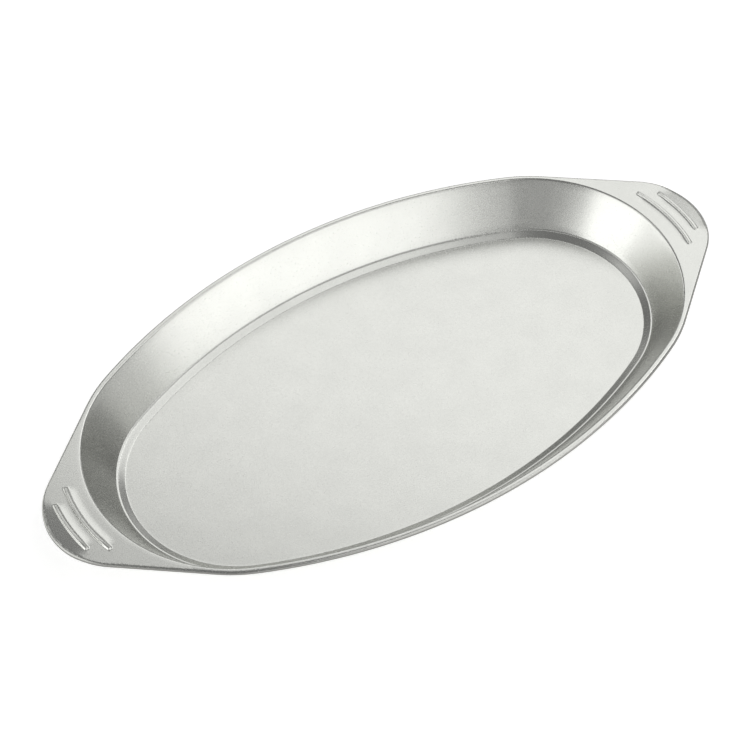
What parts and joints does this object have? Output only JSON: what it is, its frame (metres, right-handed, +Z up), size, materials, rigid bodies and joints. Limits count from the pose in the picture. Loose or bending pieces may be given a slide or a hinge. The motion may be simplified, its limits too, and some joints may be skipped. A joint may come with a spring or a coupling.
{
  "type": "serving tray",
  "caption": "Shallow oval serving tray pressed from one stainless steel sheet, with a sloping wall, a flat rim and a ribbed ear-shaped grip at each end.",
  "frame": {"origin": "centre of the underside, on the surface that the tray stands on", "axes": "+X along the tray from grip to grip, +Y across it, +Z up out of the open side"},
  "size_m": [0.4, 0.2092, 0.0282],
  "materials": {
    "satin_steel": "satin stainless steel"
  },
  "bodies": {
    "root": {"tray_pressing": "satin_steel"}
  },
  "joints": []
}
